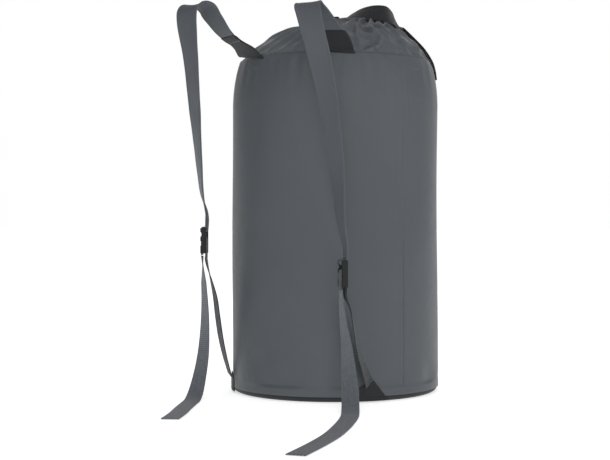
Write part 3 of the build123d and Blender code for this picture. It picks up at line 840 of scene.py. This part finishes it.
def make_webbing(side):
    """One strip from the black tab, up behind the buckle, over its middle bar and down its front."""
    rows = []
    for azimuth, radius, height, angle in anchor_routes[side]:
        rows.append([*place(azimuth, radius, height), angle])
    facing = buckle_places[side][3] + run_turns[side]
    for up, out in ((-34, -4.0), (-24, -wrap_middle), (-12, -wrap_middle), (0, -wrap_middle)):
        rows.append([*in_buckle(side, up, out), facing])
    for turn in np.radians((-60, -30, 0, 30, 60)):
        up = middle_bar_rise + wrap_middle * np.cos(turn)
        rows.append([*in_buckle(side, up, wrap_middle * np.sin(turn)), facing])
    for up in (0, -10, -21.5):
        rows.append([*in_buckle(side, up, wrap_middle), facing])
    rows = smooth_rows(rows, 240)
    across = np.array([level(angle) for angle in rows[:, 3]])
    widths = np.full(len(rows), webbing_width)
    strip = band(f"webbing_{side}", rows[:, :3], across, widths, webbing_thickness, woven_roll)
    # Painted shade: the whole strip takes the darker, shaded copy of the grey webbing.
    strip.data.materials.append(shaded_webbing)
    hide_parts(f"webbing_foot_{side}", f"adjuster_webbing_{side}")
    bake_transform(strip)


# ---- carry handle --------------------------------------------------------------------------------
handle_route = [  # along, towards the back, height, tilt in degrees
    (-14, 13, 569.2, 0), (-4, 13, 570.6, 0), (5, 13.8, 572.4, 1), (12, 15, 574.9, 4), (23, 19.5, 578.9, 20),
    (37.6, 26.5, 581.4, 40), (54, 33, 582.2, 54), (68.7, 36, 582, 58), (79.7, 34, 580.5, 57),
    (88.9, 26.5, 575.4, 45), (94.8, 18.6, 569.6, 25), (99.0, 14, 565.0, 8), (104.4, 11.5, 561.6, 0),
    (119.4, 7, 548.4, 0),
    (138.6, -1.5, 530.0, 0), (151.0, -5.5, 512.0, 0), (155.9, -7, 498, 0), (158.2, -8, 484, 0),
]
handle_heading = 30
handle_width = 32 * MM
handle_thickness = 1.8 * MM
handle_crest = 0.056  # along the heading, where the two halves meet


def along_handle(along, back, height):
    """Metres from a distance along the handle's heading, towards the back, and up."""
    outward = level(handle_heading) * along
    return (outward + level(handle_heading - 90) * back + np.array([0, 0, height])) * MM


def make_handle():
    """The webbing handle, in two halves that meet at its crest."""
    rows = []
    for along, back, height, tilt in handle_route:
        rows.append([*along_handle(along, back, height), tilt])
    rows = smooth_rows(rows, 220)
    back = level(handle_heading - 90)
    tilts = np.radians(rows[:, 3])
    across = np.array([back * np.cos(tilt) - np.array([0, 0, np.sin(tilt)]) for tilt in tilts])
    reach = rows[:, :3] @ level(handle_heading)
    middle = int(np.argmax(reach > handle_crest))
    parts = (
        ("handle_webbing_inner", slice(0, middle + 1), (6, 34), ("handle_end_inner",)),
        ("handle_webbing_outer", slice(middle, None), (106, 80), ("carry_handle", "handle_end_outer")),
    )
    for name, stretch, (start, end), replaced in parts:
        widths = np.full(len(rows[stretch]), handle_width)
        half = band(name, rows[stretch, :3], across[stretch], widths, handle_thickness, woven_roll)
        half.data.materials.append(black_webbing)
        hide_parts(*replaced)
        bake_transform(half)


# ---- stitching of the corner tabs ----------------------------------------------------------------
tab_azimuths = {"right": 50.5, "left": -50.5}
tab_face = body_radius + 0.1 + 1.75  # just outside a tab's face
tab_corners = [(-19, 5.2), (-19, 19.2), (-0.6, 27.6), (17.6, 5.2)]  # across the tab and up, inside its edges


def make_tab_stitches(side):
    """A line of stitches inside the edges of a corner tab."""
    mirror = 1 if side == "right" else -1
    rows = []
    for (x0, z0), (x1, z1) in zip(tab_corners, tab_corners[1:] + tab_corners[:1]):
        spread = np.linspace(0, 1, 12)
        x = mirror * (x0 + (x1 - x0) * spread)
        z = z0 + (z1 - z0) * spread
        turns = tab_azimuths[side] + np.degrees(x / body_radius)
        points = np.array([place(turn, tab_face, height) for turn, height in zip(turns, z)])
        rows.append((points, np.array([place(turn, 1000, 0) for turn in turns])))
    sewing = stitches(f"tab_stitches_{side}", rows, black_thread)
    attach(sewing, "bag")


# ---- everything else keeps its CAD shape ---------------------------------------------------------
def finish_nodes():
    """Materials for the CAD nodes that stay."""
    looks = {
        "black_plastic": black_plastic, "binding_tape": tape_weave, "base_fabric": black_cloth,
        "drawcord": cord_braid, "spring_steel": wire, "bag_fabric": bag_cloth, "strap_fabric": strap_cloth,
    }
    for row in frame["record"]["subparts"]:
        look = looks.get(row["material_slot"])
        piece = nodes[row["node"]]
        if look is None:
            continue
        piece.data.materials.clear()
        piece.data.materials.append(look)


make_camera()
make_stage()
for side_name in ("left", "right"):
    make_tail(side_name)
make_drawcord_end(1, "back")
make_drawcord_end(-1, "front")
make_wall("back_cloth", -seam_azimuth, seam_azimuth, 300, "back_panel")
make_wall("front_cloth", seam_azimuth, 360 - seam_azimuth, 380, "front_panel")
make_cap()
make_hem()
for side_name in ("left", "right"):
    make_strap(side_name)
    make_webbing(side_name)
make_handle()
for side_name in ("left", "right"):
    make_tab_stitches(side_name)
finish_nodes()
